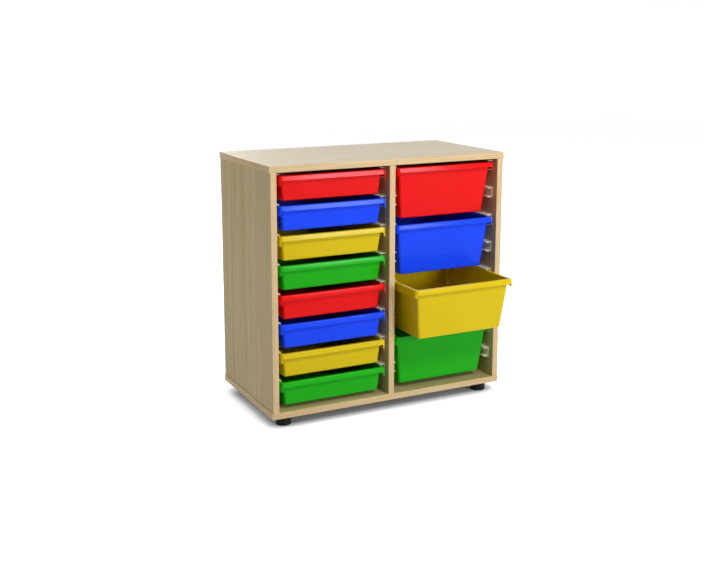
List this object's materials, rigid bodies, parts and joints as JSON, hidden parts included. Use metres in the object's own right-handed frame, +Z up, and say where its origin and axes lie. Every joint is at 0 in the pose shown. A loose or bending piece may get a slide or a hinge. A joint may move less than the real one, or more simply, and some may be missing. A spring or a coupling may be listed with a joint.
{
  "type": "classroom tray storage unit",
  "caption": "Low two-bay board cabinet on round feet with coloured pull-out plastic trays: shallow ones on the left, deep ones on the right, one drawn out.",
  "frame": {"origin": "on the floor, at the centre of the footprint at rest, with the yellow deep tray drawn out as stored", "axes": "+X to the right seen from the front, +Y from the front to the back, +Z up"},
  "size_m": [0.78, 0.517, 0.768],
  "materials": {
    "board": "melamine-faced chipboard, pale maple decor, matt",
    "edge_band": "plastic edge band, fine wood grain, satin",
    "tongue": "beech plywood, plain",
    "foot": "black, finely textured",
    "runner": "cream, satin",
    "tray_red": "moulded, satin gloss",
    "tray_blue": "moulded, satin gloss",
    "tray_yellow": "moulded, satin gloss",
    "tray_green": "moulded, satin gloss"
  },
  "bodies": {
    "cabinet": {"bottom_panel": "board", "top_panel": "board", "left_side_panel": "board", "centre_divider": "board", "right_side_panel": "board", "back_panel": "board", "bottom_edge_bands": "edge_band", "top_edge_bands": "edge_band", "upright_edge_bands": "edge_band", "joint_tongues": "tongue", "front_left_foot": "foot", "front_right_foot": "foot", "rear_left_foot": "foot", "rear_right_foot": "foot", "left_bay_outer_runner_1": "runner", "left_bay_outer_runner_2": "runner", "left_bay_outer_runner_3": "runner", "left_bay_outer_runner_4": "runner", "left_bay_outer_runner_5": "runner", "left_bay_outer_runner_6": "runner", "left_bay_outer_runner_7": "runner", "left_bay_outer_runner_8": "runner", "left_bay_inner_runner_1": "runner", "left_bay_inner_runner_2": "runner", "left_bay_inner_runner_3": "runner", "left_bay_inner_runner_4": "runner", "left_bay_inner_runner_5": "runner", "left_bay_inner_runner_6": "runner", "left_bay_inner_runner_7": "runner", "left_bay_inner_runner_8": "runner", "right_bay_inner_runner_1": "runner", "right_bay_inner_runner_2": "runner", "right_bay_inner_runner_3": "runner", "right_bay_inner_runner_4": "runner", "right_bay_inner_runner_5": "runner", "right_bay_inner_runner_6": "runner", "right_bay_inner_runner_7": "runner", "right_bay_inner_runner_8": "runner", "right_bay_outer_runner_1": "runner", "right_bay_outer_runner_2": "runner", "right_bay_outer_runner_3": "runner", "right_bay_outer_runner_4": "runner", "right_bay_outer_runner_5": "runner", "right_bay_outer_runner_6": "runner", "right_bay_outer_runner_7": "runner", "right_bay_outer_runner_8": "runner"},
    "shallow_tray_1": {"shallow_tray_1_red": "tray_red"},
    "shallow_tray_2": {"shallow_tray_2_blue": "tray_blue"},
    "shallow_tray_3": {"shallow_tray_3_yellow": "tray_yellow"},
    "shallow_tray_4": {"shallow_tray_4_green": "tray_green"},
    "shallow_tray_5": {"shallow_tray_5_red": "tray_red"},
    "shallow_tray_6": {"shallow_tray_6_blue": "tray_blue"},
    "shallow_tray_7": {"shallow_tray_7_yellow": "tray_yellow"},
    "shallow_tray_8": {"shallow_tray_8_green": "tray_green"},
    "deep_tray_1": {"deep_tray_1_red": "tray_red"},
    "deep_tray_2": {"deep_tray_2_blue": "tray_blue"},
    "deep_tray_3": {"deep_tray_3_yellow": "tray_yellow"},
    "deep_tray_4": {"deep_tray_4_green": "tray_green"}
  },
  "joints": [
    {"name": "shallow_tray_1_slide", "type": "slide", "parent": "cabinet", "child": "shallow_tray_1", "axis": [0, -1, 0], "range_m": [0, 0.3]},
    {"name": "shallow_tray_2_slide", "type": "slide", "parent": "cabinet", "child": "shallow_tray_2", "axis": [0, -1, 0], "range_m": [0, 0.3]},
    {"name": "shallow_tray_3_slide", "type": "slide", "parent": "cabinet", "child": "shallow_tray_3", "axis": [0, -1, 0], "range_m": [0, 0.3]},
    {"name": "shallow_tray_4_slide", "type": "slide", "parent": "cabinet", "child": "shallow_tray_4", "axis": [0, -1, 0], "range_m": [0, 0.3]},
    {"name": "shallow_tray_5_slide", "type": "slide", "parent": "cabinet", "child": "shallow_tray_5", "axis": [0, -1, 0], "range_m": [0, 0.3]},
    {"name": "shallow_tray_6_slide", "type": "slide", "parent": "cabinet", "child": "shallow_tray_6", "axis": [0, -1, 0], "range_m": [0, 0.3]},
    {"name": "shallow_tray_7_slide", "type": "slide", "parent": "cabinet", "child": "shallow_tray_7", "axis": [0, -1, 0], "range_m": [0, 0.3]},
    {"name": "shallow_tray_8_slide", "type": "slide", "parent": "cabinet", "child": "shallow_tray_8", "axis": [0, -1, 0], "range_m": [0, 0.3]},
    {"name": "deep_tray_1_slide", "type": "slide", "parent": "cabinet", "child": "deep_tray_1", "axis": [0, -1, 0], "range_m": [0, 0.3]},
    {"name": "deep_tray_2_slide", "type": "slide", "parent": "cabinet", "child": "deep_tray_2", "axis": [0, -1, 0], "range_m": [0, 0.3]},
    {"name": "deep_tray_3_slide", "type": "slide", "parent": "cabinet", "child": "deep_tray_3", "axis": [0, -1, 0], "range_m": [-0.117, 0.183]},
    {"name": "deep_tray_4_slide", "type": "slide", "parent": "cabinet", "child": "deep_tray_4", "axis": [0, -1, 0], "range_m": [0, 0.3]}
  ]
}
